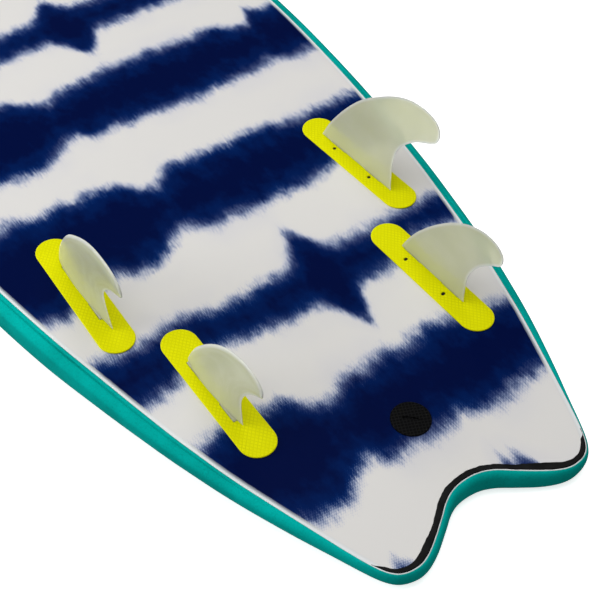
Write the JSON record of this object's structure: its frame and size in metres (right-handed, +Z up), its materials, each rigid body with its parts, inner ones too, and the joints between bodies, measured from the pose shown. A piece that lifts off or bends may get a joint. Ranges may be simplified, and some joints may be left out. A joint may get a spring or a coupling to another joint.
{
  "type": "surfboard",
  "caption": "Soft-top swallow-tail surfboard with wrap-round foam rails, slick printed bottom, removable twin-tab fins on raised pads and a through-bolt leash plug.",
  "frame": {"origin": "centre of the footprint, on the surface that the nose and the tail end of the deck rest on", "axes": "+X from the tail to the nose, +Y towards one rail, +Z up out of the bottom skin; the board lies on its deck with the fins up"},
  "size_m": [1.83, 0.593, 0.197],
  "materials": {
    "eps_core": "expanded foam beads",
    "stringer_wood": "plain",
    "slick_bottom": "satin sheet with a navy dye print",
    "teal_foam": "matte closed-cell foam",
    "black_seal": "satin",
    "black_plastic": "moulded",
    "yellow_pad": "satin with a fine diamond grid",
    "frosted_fin": "frosted translucent",
    "steel_pin": "brushed",
    "dark_steel": "blackened"
  },
  "bodies": {
    "board": {"core_center": "eps_core", "core_left": "eps_core", "core_right": "eps_core", "stringer_left": "stringer_wood", "stringer_right": "stringer_wood", "bottom_skin": "slick_bottom", "deck_skin": "teal_foam", "rail_left": "teal_foam", "rail_right": "teal_foam", "tail_rail": "teal_foam", "tail_seal": "black_seal", "leash_plug_base": "black_plastic", "leash_plug_cup": "black_plastic", "leash_plug_pin": "steel_pin", "fin_pad_front_left": "yellow_pad", "fin_plug_front_left_fore": "black_plastic", "fin_plug_front_left_aft": "black_plastic", "fin_pad_front_right": "yellow_pad", "fin_plug_front_right_fore": "black_plastic", "fin_plug_front_right_aft": "black_plastic", "fin_pad_rear_left": "yellow_pad", "fin_plug_rear_left_fore": "black_plastic", "fin_plug_rear_left_aft": "black_plastic", "fin_pad_rear_right": "yellow_pad", "fin_plug_rear_right_fore": "black_plastic", "fin_plug_rear_right_aft": "black_plastic"},
    "fin_front_left": {"fin_front_left": "frosted_fin"},
    "grub_screw_front_left_fore": {"grub_screw_front_left_fore": "dark_steel"},
    "grub_screw_front_left_aft": {"grub_screw_front_left_aft": "dark_steel"},
    "fin_front_right": {"fin_front_right": "frosted_fin"},
    "grub_screw_front_right_fore": {"grub_screw_front_right_fore": "dark_steel"},
    "grub_screw_front_right_aft": {"grub_screw_front_right_aft": "dark_steel"},
    "fin_rear_left": {"fin_rear_left": "frosted_fin"},
    "grub_screw_rear_left_fore": {"grub_screw_rear_left_fore": "dark_steel"},
    "grub_screw_rear_left_aft": {"grub_screw_rear_left_aft": "dark_steel"},
    "fin_rear_right": {"fin_rear_right": "frosted_fin"},
    "grub_screw_rear_right_fore": {"grub_screw_rear_right_fore": "dark_steel"},
    "grub_screw_rear_right_aft": {"grub_screw_rear_right_aft": "dark_steel"}
  },
  "joints": [
    {"name": "fin_front_left_pull", "type": "slide", "parent": "board", "child": "fin_front_left", "axis": [-0.0861, 0.087, 0.9925], "range_m": [0, 0.04]},
    {"name": "grub_screw_front_left_fore_back_out", "type": "slide", "parent": "board", "child": "grub_screw_front_left_fore", "axis": [-0.1032, -0.3741, 0.9216], "range_m": [0, 0.003]},
    {"name": "grub_screw_front_left_aft_back_out", "type": "slide", "parent": "board", "child": "grub_screw_front_left_aft", "axis": [-0.1032, -0.3741, 0.9216], "range_m": [0, 0.003]},
    {"name": "fin_front_right_pull", "type": "slide", "parent": "board", "child": "fin_front_right", "axis": [-0.0861, -0.087, 0.9925], "range_m": [0, 0.04]},
    {"name": "grub_screw_front_right_fore_back_out", "type": "slide", "parent": "board", "child": "grub_screw_front_right_fore", "axis": [-0.1032, 0.3741, 0.9216], "range_m": [0, 0.003]},
    {"name": "grub_screw_front_right_aft_back_out", "type": "slide", "parent": "board", "child": "grub_screw_front_right_aft", "axis": [-0.1032, 0.3741, 0.9216], "range_m": [0, 0.003]},
    {"name": "fin_rear_left_pull", "type": "slide", "parent": "board", "child": "fin_rear_left", "axis": [-0.1016, 0.0349, 0.9942], "range_m": [0, 0.04]},
    {"name": "grub_screw_rear_left_fore_back_out", "type": "slide", "parent": "board", "child": "grub_screw_rear_left_fore", "axis": [-0.0924, -0.6559, 0.7492], "range_m": [0, 0.003]},
    {"name": "grub_screw_rear_left_aft_back_out", "type": "slide", "parent": "board", "child": "grub_screw_rear_left_aft", "axis": [-0.0924, -0.6559, 0.7492], "range_m": [0, 0.003]},
    {"name": "fin_rear_right_pull", "type": "slide", "parent": "board", "child": "fin_rear_right", "axis": [-0.1016, -0.0349, 0.9942], "range_m": [0, 0.04]},
    {"name": "grub_screw_rear_right_fore_back_out", "type": "slide", "parent": "board", "child": "grub_screw_rear_right_fore", "axis": [-0.0924, 0.6559, 0.7492], "range_m": [0, 0.003]},
    {"name": "grub_screw_rear_right_aft_back_out", "type": "slide", "parent": "board", "child": "grub_screw_rear_right_aft", "axis": [-0.0924, 0.6559, 0.7492], "range_m": [0, 0.003]}
  ]
}
